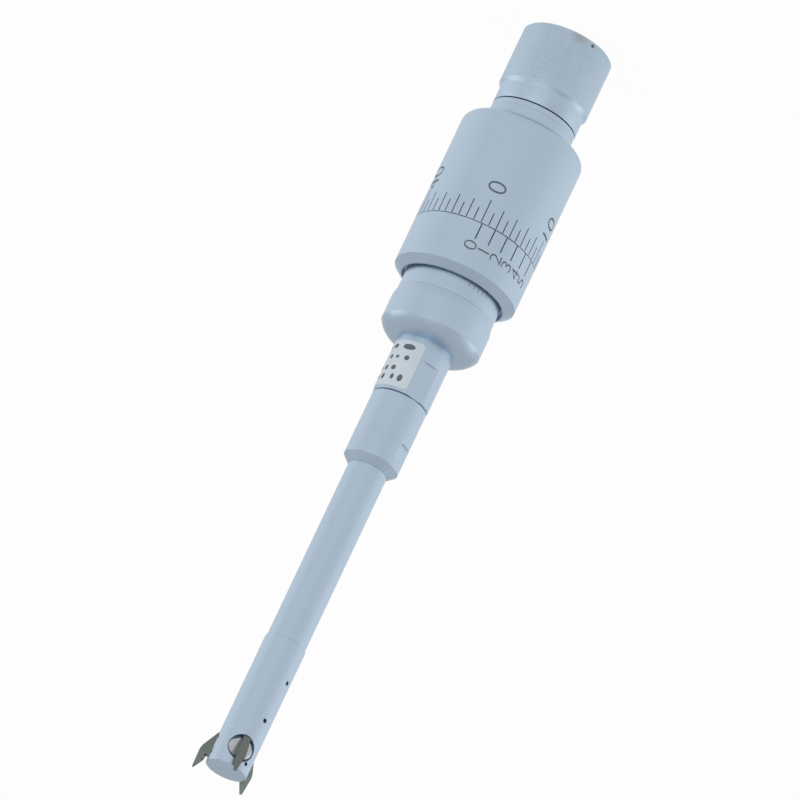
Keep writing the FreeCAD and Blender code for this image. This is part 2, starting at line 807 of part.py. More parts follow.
def make_head():
    """The measuring head with its three anvil bores, its pins and the wire ring."""
    head = turned("head_blank", [
        ("head_bore_radius", "head_bottom"),
        ("head_radius - head_edge", "head_bottom"),
        ("head_radius", "head_bottom + head_edge"),
        ("head_radius", "head_end - head_edge"),
        ("head_radius - head_edge", "head_end"),
        ("0", "head_end"),
        ("0", "bore_end"),
        ("head_bore_radius", "bore_end"),
        ("head_bore_radius", "ring_level + ring_room"),
        ("ring_radius + ring_wire / 2 + ring_room", "ring_level + ring_room"),
        ("ring_radius + ring_wire / 2 + ring_room", "ring_level - ring_room"),
        ("head_bore_radius", "ring_level - ring_room"),
    ])
    tools = []
    for angle in ANVIL_ANGLES:
        tools.append(rod("anvil_bore", "shank_radius + running_fit", "1", "head_radius + 1",
                         "anvil_axis", str(angle)))
    outside = "head_radius + 1"
    pin_top = "head_radius - pin_sink"
    pins = []
    for angle in ANVIL_ANGLES:
        where = f"{angle} - guide_pin_angle"
        spot = "anvil_axis + guide_pin_height"
        tools.append(rod("guide_hole", "guide_pin_radius", "guide_pin_reach - 1", outside, spot, where))
        pins.append(rod("guide_pin", "guide_pin_radius", "guide_pin_reach", pin_top, spot, where))
    part(group("guide_pin_group", pins), "anvil_guide_pins")
    for name, label, level in (
        ("key_pin", "cone_key_pin", "key_pin_level"),
        ("lock_pin", "head_lock_pin", "head_end - lock_pin_height"),
    ):
        where = f"-90 - {name}_angle"
        tools.append(rod(name + "_hole", name + "_radius", name + "_reach", outside, level, where))
        part(rod(name, name + "_radius", name + "_reach", pin_top, level, where), label)
    part(cut("head", head, *tools), "measuring_head")
    wire = doc.addObject("Part::Torus", "ring_wire_torus")
    bind(wire, "Radius1", "ring_radius")
    bind(wire, "Radius2", "ring_wire / 2")
    bind(wire, "Placement.Base.z", "ring_level")
    gap = doc.addObject("Part::Box", "ring_gap")
    bind(gap, "Length", "2 * ring_radius")
    bind(gap, "Width", "2 * ring_wire")
    bind(gap, "Height", "2 * ring_wire")
    bind(gap, "Placement.Base.y", "-ring_wire")
    bind(gap, "Placement.Base.z", "ring_level - ring_wire")
    part(cut("return_ring", wire, gap), "anvil_return_ring")


def make_anvil(number, angle):
    """One round anvil with its wedge-shaped inner end and the blade set in its face.

    It is drawn with its own axis along X and then turned to its angle.
    """
    shank = rod(f"shank_{number}", "shank_radius", "anvil_apex", "shank_face", "anvil_axis", "0")
    limit = doc.addObject("Part::Cone", f"shank_limit_{number}")
    bind(limit, "Radius1", "shank_radius - shank_chamfer + shank_face")
    bind(limit, "Radius2", "shank_radius - shank_chamfer")
    bind(limit, "Height", "shank_face")
    limit.Placement.Rotation = FreeCAD.Rotation(FreeCAD.Vector(0, 0, 1), FreeCAD.Vector(1, 0, 0))
    bind(limit, "Placement.Base.z", "anvil_axis")
    chamfered = doc.addObject("Part::Common", f"shank_chamfered_{number}")
    chamfered.Base = shank
    chamfered.Tool = limit
    wedge = new_prism(f"wedge_{number}", [
        ("anvil_apex", "0"),
        ("shank_face + 1", "-(shank_face + 1 - anvil_apex) * tan(60)"),
        ("shank_face + 1", "(shank_face + 1 - anvil_apex) * tan(60)"),
    ], "anvil_axis - shank_radius - 1", "2 * shank_radius + 2")
    wedged = doc.addObject("Part::Common", f"shank_wedged_{number}")
    wedged.Base = chamfered
    wedged.Tool = wedge
    ramp_low = "cone_mid_radius + thread_fit + cone_slope * (shank_radius + 1)"
    ramp_high = "cone_mid_radius + thread_fit - cone_slope * (shank_radius + 1)"
    ramp = side_prism(f"ramp_{number}", [
        ("-shank_radius", "anvil_axis - shank_radius - 1"),
        (ramp_low, "anvil_axis - shank_radius - 1"),
        (ramp_high, "anvil_axis + shank_radius + 1"),
        ("-shank_radius", "anvil_axis + shank_radius + 1"),
    ], "2 * shank_radius + 2")
    notch = doc.addObject("Part::Box", f"guide_notch_{number}")
    bind(notch, "Length", "shank_face + 1")
    bind(notch, "Width", "shank_radius")
    bind(notch, "Height", "shank_radius")
    notch_edge = "guide_pin_reach * sin(guide_pin_angle) - guide_pin_radius - slip"
    bind(notch, "Placement.Base.y", f"-({notch_edge}) - shank_radius")
    bind(notch, "Placement.Base.z", "anvil_axis + guide_pin_height - guide_pin_radius - slip")
    wire_room = turned(f"wire_room_{number}", [
        ("ring_radius - ring_wire / 2 - slip", "ring_level - ring_wire / 2 - slip"),
        ("ring_radius + ring_wire / 2 + slip", "ring_level - ring_wire / 2 - slip"),
        ("ring_radius + ring_wire / 2 + slip", "ring_level + ring_wire / 2 + slip"),
        ("ring_radius - ring_wire / 2 - slip", "ring_level + ring_wire / 2 + slip"),
    ])
    seat = side_prism(f"blade_seat_{number}", [
        ("blade_seat", "anvil_axis - shank_radius - 1"),
        ("shank_face + 1", "anvil_axis - shank_radius - 1"),
        ("shank_face + 1", "anvil_axis + shank_radius + 1"),
        ("blade_seat", "anvil_axis + shank_radius + 1"),
    ], "blade_width")
    anvil = cut(f"anvil_{number}", wedged, ramp, notch, wire_room, seat)
    turn_about_axis(anvil, str(angle))
    part(anvil, f"anvil_{number}")
    make_blade(number, angle, wire_room)


def new_prism(name, outline, bottom, height):
    """An upright prism from an outline in X and Y."""
    body = doc.addObject("PartDesign::Body", name)
    sketch = new_sketch(body, name + "_outline", "XY_Plane")
    draw_island(sketch, outline)
    pad = body.newObject("PartDesign::Pad", name + "_pad")
    pad.Profile = sketch
    bind(pad, "Length", height)
    bind(body, "Placement.Base.z", bottom)
    body.Tip = pad
    return body


def side_prism(name, outline, width):
    """A prism from an outline in X and Z, as thick on either side of the XZ plane."""
    body = doc.addObject("PartDesign::Body", name)
    sketch = new_sketch(body, name + "_outline")
    draw_island(sketch, outline)
    pad = body.newObject("PartDesign::Pad", name + "_pad")
    pad.Profile = sketch
    pad.Midplane = True
    bind(pad, "Length", width)
    body.Tip = pad
    return body


def make_blade(number, angle, wire_room):
    """The hard contact blade: a ramp, a knee and a straight contact edge that ends past the head."""
    profile = side_prism(f"blade_profile_{number}", [
        ("blade_seat", "anvil_axis - blade_root"),
        ("ramp_radius", "anvil_axis - blade_root"),
        ("contact_radius - knee_step", "anvil_axis + knee_height"),
        ("contact_radius", "anvil_axis + contact_start"),
        ("contact_radius", "anvil_axis + beak_height"),
        ("contact_radius - beak_tip", "anvil_axis + beak_height"),
        ("notch_radius", "anvil_axis + notch_height"),
        ("notch_radius - slip", "anvil_axis + blade_root"),
        ("blade_seat", "anvil_axis + blade_root"),
    ], "blade_width")
    bit = turned(f"contact_round_{number}", [
        ("0", "anvil_axis - beak_height"),
        ("contact_radius", "anvil_axis - beak_height"),
        ("contact_radius", "anvil_axis + beak_height"),
        ("0", "anvil_axis + beak_height"),
    ])
    rounded = doc.addObject("Part::Common", f"blade_round_{number}")
    rounded.Base = profile
    rounded.Tool = bit
    point = doc.addObject("PartDesign::Body", f"beak_point_{number}")
    sketch = new_sketch(point, f"beak_point_outline_{number}", "YZ_Plane")
    draw_island(sketch, [
        ("-blade_width", "anvil_axis - beak_height"),
        ("blade_width", "anvil_axis - beak_height"),
        ("blade_width", "anvil_axis + contact_start"),
        ("blade_width / 2", "anvil_axis + contact_start"),
        ("beak_width / 2", "anvil_axis + beak_height"),
        ("-beak_width / 2", "anvil_axis + beak_height"),
        ("-blade_width / 2", "anvil_axis + contact_start"),
        ("-blade_width", "anvil_axis + contact_start"),
    ])
    pad = point.newObject("PartDesign::Pad", f"beak_point_pad_{number}")
    pad.Profile = sketch
    pad.Midplane = True
    bind(pad, "Length", "4 * contact_radius")
    point.Tip = pad
    blade = doc.addObject("Part::Common", f"blade_{number}")
    blade.Base = rounded
    blade.Tool = point
    eased = cut(f"blade_eased_{number}", blade, wire_room)
    turn_about_axis(eased, str(angle))
    part(eased, f"anvil_blade_{number}")


def make_label():
    """The paper label that wraps part of the neck."""
    top = "neck_bottom + 2 * label_margin"
    label = turned("number_label", [
        ("neck_radius", top),
        ("neck_radius + label_thickness", top),
        ("neck_radius + label_thickness", "neck_top - label_margin"),
        ("neck_radius", "neck_top - label_margin"),
    ], "label_sweep")
    turn_about_axis(label, "label_start")
    part(label, "number_label")


def check_document():
    """Stop if any object failed or any piece isn't a valid solid."""
    for thing in doc.Objects:
        if "Invalid" in thing.State or "Error" in thing.State:
            raise RuntimeError(f"{thing.Name} failed: {thing.State}")
    for piece in parts:
        if piece.Shape.isNull() or not piece.Shape.isValid() or not piece.Shape.Solids:
            raise RuntimeError(f"{piece.Label} has no valid solid")


def write_parts():
    """Write each piece to its own file, named after its label."""
    os.makedirs("parts", exist_ok=True)
    for piece in parts:
        piece.Shape.exportStep(os.path.join("parts", piece.Label + ".step"))
        box = piece.Shape.BoundBox
        print(f"{piece.Label}: {len(piece.Shape.Solids)} solids, {piece.Shape.Volume:.1f} mm3,"
              f" Z {box.ZMin:.2f} to {box.ZMax:.2f}")


fill_sheet()
make_knob()
make_ratchet()
make_thimble()
make_vernier()
make_frame()
make_tube()
make_cone()
make_head()
for count, direction in enumerate(ANVIL_ANGLES, start=1):
    make_anvil(count, direction)
make_label()
doc.recompute()
check_document()
write_parts()
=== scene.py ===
"""Looks of a three-point bore micrometer that stands on its knob with the measuring tip up.

The instrument's axis is Z. Turned pieces are spun from an outline, marks are cut from flat
shapes and bent round the axis, and every finish is a node material. Sizes are in metres.
"""
import bmesh
import bpy
import json
import math
from bpy.props import FloatProperty, FloatVectorProperty, IntProperty, PointerProperty
from mathutils import Matrix, Vector


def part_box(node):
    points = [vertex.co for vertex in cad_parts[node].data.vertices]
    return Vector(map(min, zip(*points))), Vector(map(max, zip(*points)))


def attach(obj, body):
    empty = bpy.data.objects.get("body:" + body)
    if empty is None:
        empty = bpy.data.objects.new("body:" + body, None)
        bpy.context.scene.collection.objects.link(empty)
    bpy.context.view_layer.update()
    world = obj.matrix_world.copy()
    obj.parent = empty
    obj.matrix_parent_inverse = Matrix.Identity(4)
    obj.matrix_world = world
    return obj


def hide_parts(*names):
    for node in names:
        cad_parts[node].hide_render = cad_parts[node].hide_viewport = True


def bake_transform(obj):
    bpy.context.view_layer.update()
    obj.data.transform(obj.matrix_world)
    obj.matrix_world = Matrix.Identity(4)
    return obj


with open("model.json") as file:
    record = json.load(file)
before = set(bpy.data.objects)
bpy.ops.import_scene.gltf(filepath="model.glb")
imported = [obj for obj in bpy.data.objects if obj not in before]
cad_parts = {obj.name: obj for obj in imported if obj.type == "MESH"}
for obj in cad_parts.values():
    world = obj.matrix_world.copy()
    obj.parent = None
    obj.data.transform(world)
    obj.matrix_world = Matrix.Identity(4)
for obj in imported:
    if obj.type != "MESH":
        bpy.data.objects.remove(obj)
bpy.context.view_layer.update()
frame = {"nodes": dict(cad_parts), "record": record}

bl_info = {
    "name": "Bore micrometer",
    "version": (1, 0, 0),
    "blender": (4, 5, 0),
    "location": "View3D > Sidebar > Micrometer",
    "description": "Builds the looks of a three-point bore micrometer on its CAD frame",
    "category": "Object",
}

MM = 0.001
MM_PER_METRE = 1000.0
TURN = 2 * math.pi
WHITE = (1, 1, 1)
KNOB_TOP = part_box("ratchet_knob")[1].z
KNOB_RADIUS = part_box("ratchet_knob")[1].x
DRUM_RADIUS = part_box("thimble")[1].x
DRUM_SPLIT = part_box("thimble")[1].z
DRUM_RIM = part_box("vernier_ring")[1].z
SLEEVE_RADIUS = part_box("scale_sleeve")[1].x
LABEL_LOW, LABEL_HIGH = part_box("number_label")

EDGE_ROUNDING = 0.2 * MM
TURNING_MARKS = 9000.0
GRINDING_MARKS = 14000.0
POINTS_PER_TOOTH = 4
NECK_SLOPE = 1.5
MAIN_LINE_GAP = 0.1 * MM
VERNIER_LINE_GAP = 0.2 * MM
SLEEVE_LINE_GAP = 0.4 * MM
INK_SLICES = 10
LABEL_SLICES = 40
STROKE_OFFSET = -0.012
COIL_STEPS = 36
ARC_STEPS = 24
CAMERA_NEAR = 0.1
CAMERA_FAR = 30

# The knob's nick and the stain beside it, in millimetres.
NICK_HEADING = math.radians(-103)
STAIN_HEADING = NICK_HEADING + 0.34
NICK_SPOT = (11.2 * math.cos(NICK_HEADING), 11.2 * math.sin(NICK_HEADING), 1.3)
STAIN_SPOT = (11.2 * math.cos(STAIN_HEADING), 11.2 * math.sin(STAIN_HEADING), 0.3)

# The label's print: (distance from the label's low end, its blots as (place round the neck,
# width, height)), all in millimetres.
PRINT_ROWS = (
    (1.7, ((-2.1, 3.3, 1.5), (1.9, 1.6, 1.3), (4.2, 1.0, 1.2))),
    (4.6, ((-2.7, 1.3, 1.3), (-0.1, 1.0, 0.9), (2.0, 1.2, 1.2))),
    (7.6, ((-0.4, 1.4, 1.3), (2.0, 1.2, 1.4), (3.9, 0.9, 1.1))),
    (10.0, ((-3.2, 1.3, 1.9), (-1.1, 1.0, 1.5), (1.9, 1.3, 1.6), (4.1, 1.0, 1.2))),
)

# The lamps: name, degrees from the camera's heading, height as a share of the distance, and
# the setting that holds the power.
LAMPS = (
    ("left_lamp", -95, 0.12, "side"),
    ("right_lamp", 95, 0.12, "side"),
    ("front_lamp", 20, 0.3, "front"),
)


def length(name, text, millimetres):
    """A length that a user can change, shown in scene units."""
    return FloatProperty(name=name, description=text, default=millimetres * MM,
                         subtype="DISTANCE", unit="LENGTH", precision=5)


def angle(name, text, degrees):
    """An angle that a user can change."""
    return FloatProperty(name=name, description=text, default=math.radians(degrees),
                         subtype="ANGLE", unit="ROTATION")


def colour(name, text, red, green, blue):
    """A linear colour that a user can change."""
    return FloatVectorProperty(name=name, description=text, default=(red, green, blue),
                               size=3, subtype="COLOR", min=0, max=1)


def count(name, text, default, least):
    """A number of equal marks that a user can change."""
    return IntProperty(name=name, description=text, default=default, min=least)


def metres(name, text, default):
    """A length of the stage, in metres."""
    return FloatProperty(name=name, description=text, default=default, unit="LENGTH")


def watts(name, text, default):
    """The power of a lamp."""
    return FloatProperty(name=name, description=text, default=default, unit="POWER")


def share(name, text, default):
    """A brightness or a share, where 1 is white or all."""
    return FloatProperty(name=name, description=text, default=default, min=0, subtype="FACTOR")


class KnobSizes(bpy.types.PropertyGroup):
    """Sizes of the knurled knob and of the recess and bores in it."""

    grip: length("Grip height", "Height of the knurled grip above the flat end", 15.2)
    chamfer: length("End chamfer", "Chamfer round the flat end", 0.7)
    neck_radius: length("Neck radius", "Radius of the smooth neck", 10.55)
    cavity_radius: length("Cavity radius", "Radius of the cavity for the ratchet hub", 8.6)
    cavity_floor: length("Cavity floor", "Height of the cavity's floor above the flat end", 13.0)
    recess_radius: length("Recess radius", "Radius of the recess in the flat end", 6.0)
    recess_depth: length("Recess depth", "Depth of the recess in the flat end", 5.0)
    stud_hole: length("Stud hole radius", "Radius of the hole for the stud", 3.05)
    plunger_circle: length("Plunger circle", "Distance of the plunger from the axis", 6.3)
    plunger_hole: length("Plunger hole radius", "Radius of the hole for the plunger", 1.05)
    plunger_floor: length("Plunger hole floor", "Height of the floor of the plunger's hole", 6.8)
    teeth: count("Knurl teeth", "Ridges round the grip", 140, 12)
    tooth_depth: length("Knurl depth", "Depth of the grooves of the knurl", 0.09)
    edge: length("Edge break", "Rounding of the turned edges", 0.12)


class ScaleSizes(bpy.types.PropertyGroup):
    """Sizes and places of the graduations and their numerals."""

    divisions: count("Divisions", "Divisions round the thimble", 50, 10)
    zero: angle("Main zero", "Direction of the thimble's zero line at rest", -72.5)
    short: length("Short line", "Length of the odd lines of the main scale", 3.36)
    medium: length("Medium line", "Length of the even lines of the main scale", 5.04)
    long: length("Long line", "Length of the numbered lines of the main scale", 6.07)
    thin: length("Main line width", "Width of a line of the main scale", 0.24)
    numeral_drop: length("Main numeral place",
                         "Distance of the main numerals from the split line", 9.74)
    numeral_height: length("Main numeral height",
                           "Height of the main numerals, round the drum", 4.5)
    numeral_width: length("Main numeral width", "Width of one main numeral, along the axis", 2.9)
    vernier_zero: angle("Vernier zero", "Direction of the vernier's zero line", -74.0)
    vernier_step: angle("Vernier step", "Angle between two vernier lines", 12.96)
    vernier_lines: count("Vernier lines", "Number of vernier lines", 6, 2)
    vernier_line: length("Vernier line", "Length of a vernier line", 4.2)
    thick: length("Vernier line width", "Width of a vernier line", 0.3)
    numeral_turn: angle("Vernier numeral turn", "Angle from a vernier line to its numeral", 1.5)
    vernier_numeral_rise: length("Vernier numeral place",
                                 "Distance of the vernier numerals from the split", 6.24)
    vernier_numeral_height: length("Vernier numeral height", "Height of a vernier numeral", 3.1)
    vernier_numeral_width: length("Vernier numeral width", "Width of a vernier numeral", 2.3)
    sleeve_line: length("Sleeve line", "Length of a line on the sleeve past the rim", 0.9)
    sleeve_start: angle("Sleeve lines", "Direction of the first line on the sleeve", -90)
    sleeve_step: angle("Sleeve step", "Angle between two lines on the sleeve", 6.2)
    sleeve_lines: count("Sleeve lines", "Number of lines on the sleeve", 5, 1)
    proud: length("Ink height", "Height of the ink over the metal", 0.008)
    sunk: length("Ink depth", "Depth of the ink below the metal", 0.05)


class LabelSizes(bpy.types.PropertyGroup):
    """Sizes of the paper label on the neck and of the marks printed on it."""

    radius: length("Neck radius", "Radius of the neck under the label", 7.0)
    paper: length("Paper", "Thickness of the label", 0.12)
    start: angle("Label start", "Direction of the label's first edge", -76)
    sweep: angle("Label sweep", "Angle that the label goes round the neck", 95)
    corner: length("Corner", "Radius of the label's corners", 1.1)
    print_height: length("Ink height", "Height of the print over the paper", 0.006)


class WireSizes(bpy.types.PropertyGroup):
    """Sizes of the wires of the springs."""

    rod_wire: length("Rod spring wire", "Wire of the rod's return spring", 0.45)
    ratchet_wire: length("Ratchet spring wire", "Wire of the ratchet's spring", 0.28)
    ring_wire: length("Ring wire", "Wire of the ring that pulls the anvils in", 0.45)
    grip_angle: angle("Gripped angle", "Angle from an anvil's middle that the ring follows it", 37)


class FinishColours(bpy.types.PropertyGroup):
    """Colours of the finishes."""

    chrome: colour("Satin chrome", "Matt chrome plate of the bodies", 0.49, 0.61, 0.73)
    chrome_light: colour("Light chrome", "Paler places in the chrome plate", 0.53, 0.65, 0.775)
    # Painted light: paler than the chrome, to offset the shade in the knurl's grooves.
    grip: colour("Knurl", "Chrome plate on the knurl", 0.535, 0.655, 0.765)
    ground: colour("Ground steel", "Bright ground flanks of the anvils", 0.6, 0.62, 0.66)
    # Painted shade: carbide's own darker grey, deepened for the blades' shaded, dark-reflecting
    # look.
    hard: colour("Hard metal", "Dark contact blades", 0.25, 0.28, 0.265)
    black: colour("Blackened steel", "Small pins and screws", 0.03, 0.036, 0.042)
    spring: colour("Spring wire", "Drawn spring wire", 0.24, 0.25, 0.26)
    bronze: colour("Bronze", "Turned bronze of the nut and the bush", 0.45, 0.26, 0.10)
    ink: colour("Ink", "Ink of the graduations", 0.03, 0.042, 0.052)
    pale_ink: colour("Pale ink", "Ink of the numerals and of the label's print", 0.1, 0.125, 0.145)
    paper: colour("Paper", "Paper of the label", 0.76, 0.85, 0.925)
    stain: colour("Stain", "Brownish stain near the knob's end", 0.40, 0.35, 0.32)


class StageSizes(bpy.types.PropertyGroup):
    """The camera, the lamps and the floor."""

    heading: angle("Camera heading", "Direction of the camera from the axis", -76)
    rise: angle("Camera height", "Angle of the camera above the floor", 21)
    roll: angle("Camera roll", "Angle of the axis from the picture's upright", 25.35)
    aim: length("Aim", "Height of the point on the axis in the picture's middle", 98.97)
    across: length("Sideways", "Shift of the camera to its right", -0.2)
    upward: length("Upwards", "Shift of the camera to its top", 0.16)
    distance: metres("Distance", "Distance of the camera from the axis", 8.0)
    width: length("Picture width", "Width of the picture at the axis", 187.8)
    floor: metres("Floor", "Half the floor's width", 4.0)
    lamp: metres("Lamp size", "Width of a soft lamp", 1.6)
    lamp_distance: metres("Lamp distance", "Distance of the lamps from the axis", 1.7)
    side: watts("Side lamps", "Power of each side lamp", 6.5)
    front: watts("Front lamp", "Power of the front lamp", 5.0)
    sky: share("Sky", "Brightness of the room above the part", 0.6)
    floor_front: share("Floor in front", "Reflected floor on the camera's side", 0.8)
    floor_behind: share("Floor behind", "Reflected floor behind the part", 0.93)
    floor_shade: share("Floor shade", "Share of the shadow that the camera sees", 0.04)


GROUPS = {"knob": KnobSizes, "scales": ScaleSizes, "label": LabelSizes, "wire": WireSizes,
          "colours": FinishColours, "stage": StageSizes}


def settings(group):
    """The values of one property group in this scene."""
    return getattr(bpy.context.scene, "micrometer_" + group)


class Signal:
    """One output socket of a node tree, with the arithmetic that its values take."""

    def __init__(self, nodes, socket):
        self.nodes = nodes
        self.socket = socket

    def maths(self, operation, *values):
        return self.nodes.node("ShaderNodeMath", {"operation": operation},
                               dict(enumerate(values)))

    def __add__(self, other):
        return self.maths("ADD", self, other)

    def __radd__(self, other):
        return self.maths("ADD", other, self)

    def __mul__(self, other):
        return self.maths("MULTIPLY", self, other)

    def __rmul__(self, other):
        return self.maths("MULTIPLY", other, self)

    def fade(self, full, none):
        """1 up to the value full, then smoothly down to 0 at the value none."""
        return self.nodes.node("ShaderNodeMapRange", {"interpolation_type": "SMOOTHSTEP"},
                               {0: self, 1: full, 2: none, 3: 1.0, 4: 0.0})


class Nodes:
    """A node tree, with the one method that adds a node to it."""

    def __init__(self, tree):
        self.tree = tree

    def feed(self, socket, value):
        """Link a signal to a socket, or set the socket's own value."""
        if isinstance(value, Signal):
            self.tree.links.new(value.socket, socket)
        elif hasattr(value, "__len__") and len(value) == 3 and socket.type == "RGBA":
            socket.default_value = (*value, 1)
        else:
            socket.default_value = value

    def node(self, kind, choices=None, sockets=None, output=0):
        """Add a node: its choices first, then the values or links of its sockets."""
        made = self.tree.nodes.new(kind)
        for name, value in (choices or {}).items():
            setattr(made, name, value)
        for key, value in (sockets or {}).items():
            self.feed(made.inputs[key], value)
        return Signal(self, made.outputs[output])

    def place(self, along=MM_PER_METRE):
        """Object coordinates in millimetres, or finer ones along the axis."""
        spot = self.node("ShaderNodeTexCoord", output="Object")
        return self.node("ShaderNodeMapping", {},
                         {"Vector": spot, "Scale": (MM_PER_METRE, MM_PER_METRE, along)})

    def noise(self, scale, detail=2.0, along=MM_PER_METRE):
        """Smooth noise from 0 to 1, fixed to the piece."""
        return self.node("ShaderNodeTexNoise", {},
                         {"Vector": self.place(along), "Scale": scale, "Detail": detail})

    def height(self):
        """The height along the axis, in millimetres."""
        return self.node("ShaderNodeSeparateXYZ", {}, {0: self.place()}, output=2)

    def away_from(self, spot):
        """The distance from a spot given in millimetres."""
        return self.node("ShaderNodeVectorMath", {"operation": "DISTANCE"},
                         {0: self.place(), 1: spot}, output="Value")

    def blend(self, mask, first, second):
        """A colour that goes from the first to the second."""
        return self.node("ShaderNodeMix", {"data_type": "RGBA"},
                         {0: mask, 6: first, 7: second}, output=2)


class Finish(Nodes):
    """A material with its shader, whose constants are set by name."""

    def __init__(self, name, **constants):
        self.material = bpy.data.materials.new(name)
        self.material.use_nodes = True
        super().__init__(self.material.node_tree)
        self.shader = self.tree.nodes["Principled BSDF"]
        for socket, value in constants.items():
            self.set(socket.replace("_", " "), value)

    def set(self, socket, value):
        """Link a signal to one of the shader's sockets, or set the socket's value."""
        self.feed(self.shader.inputs[socket], value)

    def rough(self, height, depth, strength, edge=0.0):
        """Let a height signal raise the surface by a depth in metres, and round its edges."""
        sockets = {"Height": height, "Distance": depth, "Strength": strength}
        if edge:
            sockets["Normal"] = self.node("ShaderNodeBevel", {"samples": 6}, {"Radius": edge})
        self.set("Normal", self.node("ShaderNodeBump", {}, sockets))


def shaded(factor, tone):
    """A colour made darker or lighter by a factor."""
    return [factor * part for part in tone]


def satin_chrome(name, base, pale):
    """Matt chrome plate: a fine grain, faint turning lines and soft cloudy patches."""
    finish = Finish(name, Metallic=1.0)
    cloud = finish.noise(0.12, 3.0)
    grain = finish.noise(9.0)
    lines = finish.noise(0.35, along=TURNING_MARKS)
    tone = finish.blend(cloud, base, pale)
    speck = finish.blend(grain.fade(0.30, 0.38) * 0.35, tone, shaded(0.55, base))
    finish.set("Base Color", speck)
    finish.set("Roughness", 0.34 + cloud * 0.08 + grain * 0.06)
    finish.rough(grain * 0.6 + lines * 0.4, 0.012 * MM, 0.35, EDGE_ROUNDING)
    return finish.material


def knurl_chrome(colours):
    """The knob's plate: paler on the knurl as painted light, with a stain and a nick at its end.
    """
    finish = Finish("knob_chrome", Metallic=1.0)
    level = finish.height()
    sizes = settings("knob")
    grip = level.fade(sizes.grip / MM - 0.2, sizes.grip / MM + 0.4)
    cloud = finish.noise(0.15, 3.0)
    grain = finish.noise(8.0)
    smooth = finish.blend(cloud, colours.chrome, colours.chrome_light)
    # Painted light: the knurl is paler than the chrome, against the shade in its grooves.
    tone = finish.blend(grip, smooth, colours.grip)
    mottle = finish.noise(0.5, 4.0).fade(0.42, 0.58)
    tone = finish.blend(mottle * grip * 0.05, tone, shaded(0.5, colours.grip))
    stain = finish.away_from(STAIN_SPOT).fade(0.4, 3.2) * 0.5
    nick = finish.away_from(NICK_SPOT).fade(0.2, 0.7) * 0.8
    tone = finish.blend(stain, tone, colours.stain)
    finish.set("Base Color", finish.blend(nick, tone, colours.black))
    finish.set("Roughness", 0.40 + grain * 0.08)
    finish.rough(grain, 0.01 * MM, 0.3)
    return finish.material


def ground_steel(colours):
    """Bright ground steel with fine straight grinding lines."""
    finish = Finish("ground_steel", Metallic=1.0)
    lines = finish.noise(0.5, along=GRINDING_MARKS)
    finish.set("Base Color", finish.blend(lines, colours.ground, shaded(0.8, colours.ground)))
    finish.set("Roughness", 0.2 + lines * 0.14)
    finish.rough(lines, 0.008 * MM, 0.4)
    return finish.material


def speckled_metal(name, tone, roughness, speck=0.5):
    """A plain metal finish with a fine speckle."""
    finish = Finish(name, Metallic=1.0)
    grain = finish.noise(6.0, 3.0)
    finish.set("Base Color", finish.blend(grain, tone, shaded(speck, tone)))
    finish.set("Roughness", roughness + grain * 0.12)
    finish.rough(grain, 0.008 * MM, 0.3)
    return finish.material


def dull_ink(name, tone):
    """Dull ink with a fine mottle."""
    finish = Finish(name, Specular_IOR_Level=0.2)
    grain = finish.noise(5.0, 3.0)
    finish.set("Base Color", finish.blend(grain, tone, shaded(1.8, tone)))
    finish.set("Roughness", 0.6 + grain * 0.2)
    return finish.material


def coated_paper(colours):
    """White label paper with a faint fibre."""
    finish = Finish("label_paper", Specular_IOR_Level=0.3)
    fibre = finish.noise(3.0, 4.0)
    cloud = finish.noise(0.4)
    tone = finish.blend(fibre * 0.5 + cloud * 0.5, colours.paper, shaded(0.86, colours.paper))
    finish.set("Base Color", tone)
    finish.set("Roughness", 0.55 + fibre * 0.15)
    finish.rough(fibre, 0.01 * MM, 0.3)
    return finish.material


def make_piece(shape, name, material, body=None, replaces=()):
    """Turn a finished shape into an object that rides on a body of the frame, if one is given."""
    mesh = bpy.data.meshes.new(name)
    shape.to_mesh(mesh)
    shape.free()
    mesh.materials.append(material)
    piece = bpy.data.objects.new(name, mesh)
    bpy.context.scene.collection.objects.link(piece)
    if body:
        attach(piece, body)
    if replaces:
        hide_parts(*replaces)
    return piece


def smooth_by_angle(piece, degrees):
    """Shade smooth, with the edges sharper than the angle kept crisp."""
    piece.data.shade_smooth()
    piece.data.set_sharp_from_angle(angle=math.radians(degrees))


def spin_outline(outline, steps, edge):
    """A closed turned shape from an outline of (radius, height), its corners rounded by edge."""
    shape = bmesh.new()
    corners = [shape.verts.new((radius, 0, height)) for radius, height in outline]
    for first, second in zip(corners, corners[1:] + corners[:1]):
        shape.edges.new((first, second))
    bmesh.ops.bevel(shape, geom=corners, offset=edge, offset_type="OFFSET", segments=2,
                    profile=0.5, affect="VERTICES", material=-1)
    bmesh.ops.spin(shape, geom=shape.verts[:] + shape.edges[:], cent=(0, 0, 0), axis=(0, 0, 1),
                   angle=TURN, steps=steps, use_merge=True, use_duplicate=False)
    bmesh.ops.recalc_face_normals(shape, faces=shape.faces)
    return shape


def wrap(verts, radius, heading, height):
    """Bend flat points round the axis: their y runs round it, and their x runs down it."""
    for vert in verts:
        down, around, out = vert.co
        reach = radius + out
        at = heading + around / radius
        vert.co = (reach * math.cos(at), reach * math.sin(at), height - down)


def slice_across(shape, height, slices):
    """Cut a flat shape into strips across its Y, so that it can bend."""
    for cut in range(1, slices):
        around = height * (cut / slices - 0.5)
        bmesh.ops.bisect_plane(shape, geom=shape.verts[:] + shape.edges[:] + shape.faces[:],
                               plane_co=(0, around, 0), plane_no=(0, 1, 0), dist=1e-9)


def add_shape(shape, extra):
    """Add one finished shape to another."""
    mesh = bpy.data.meshes.new("extra")
    extra.to_mesh(mesh)
    extra.free()
    shape.from_mesh(mesh)
    bpy.data.meshes.remove(mesh)


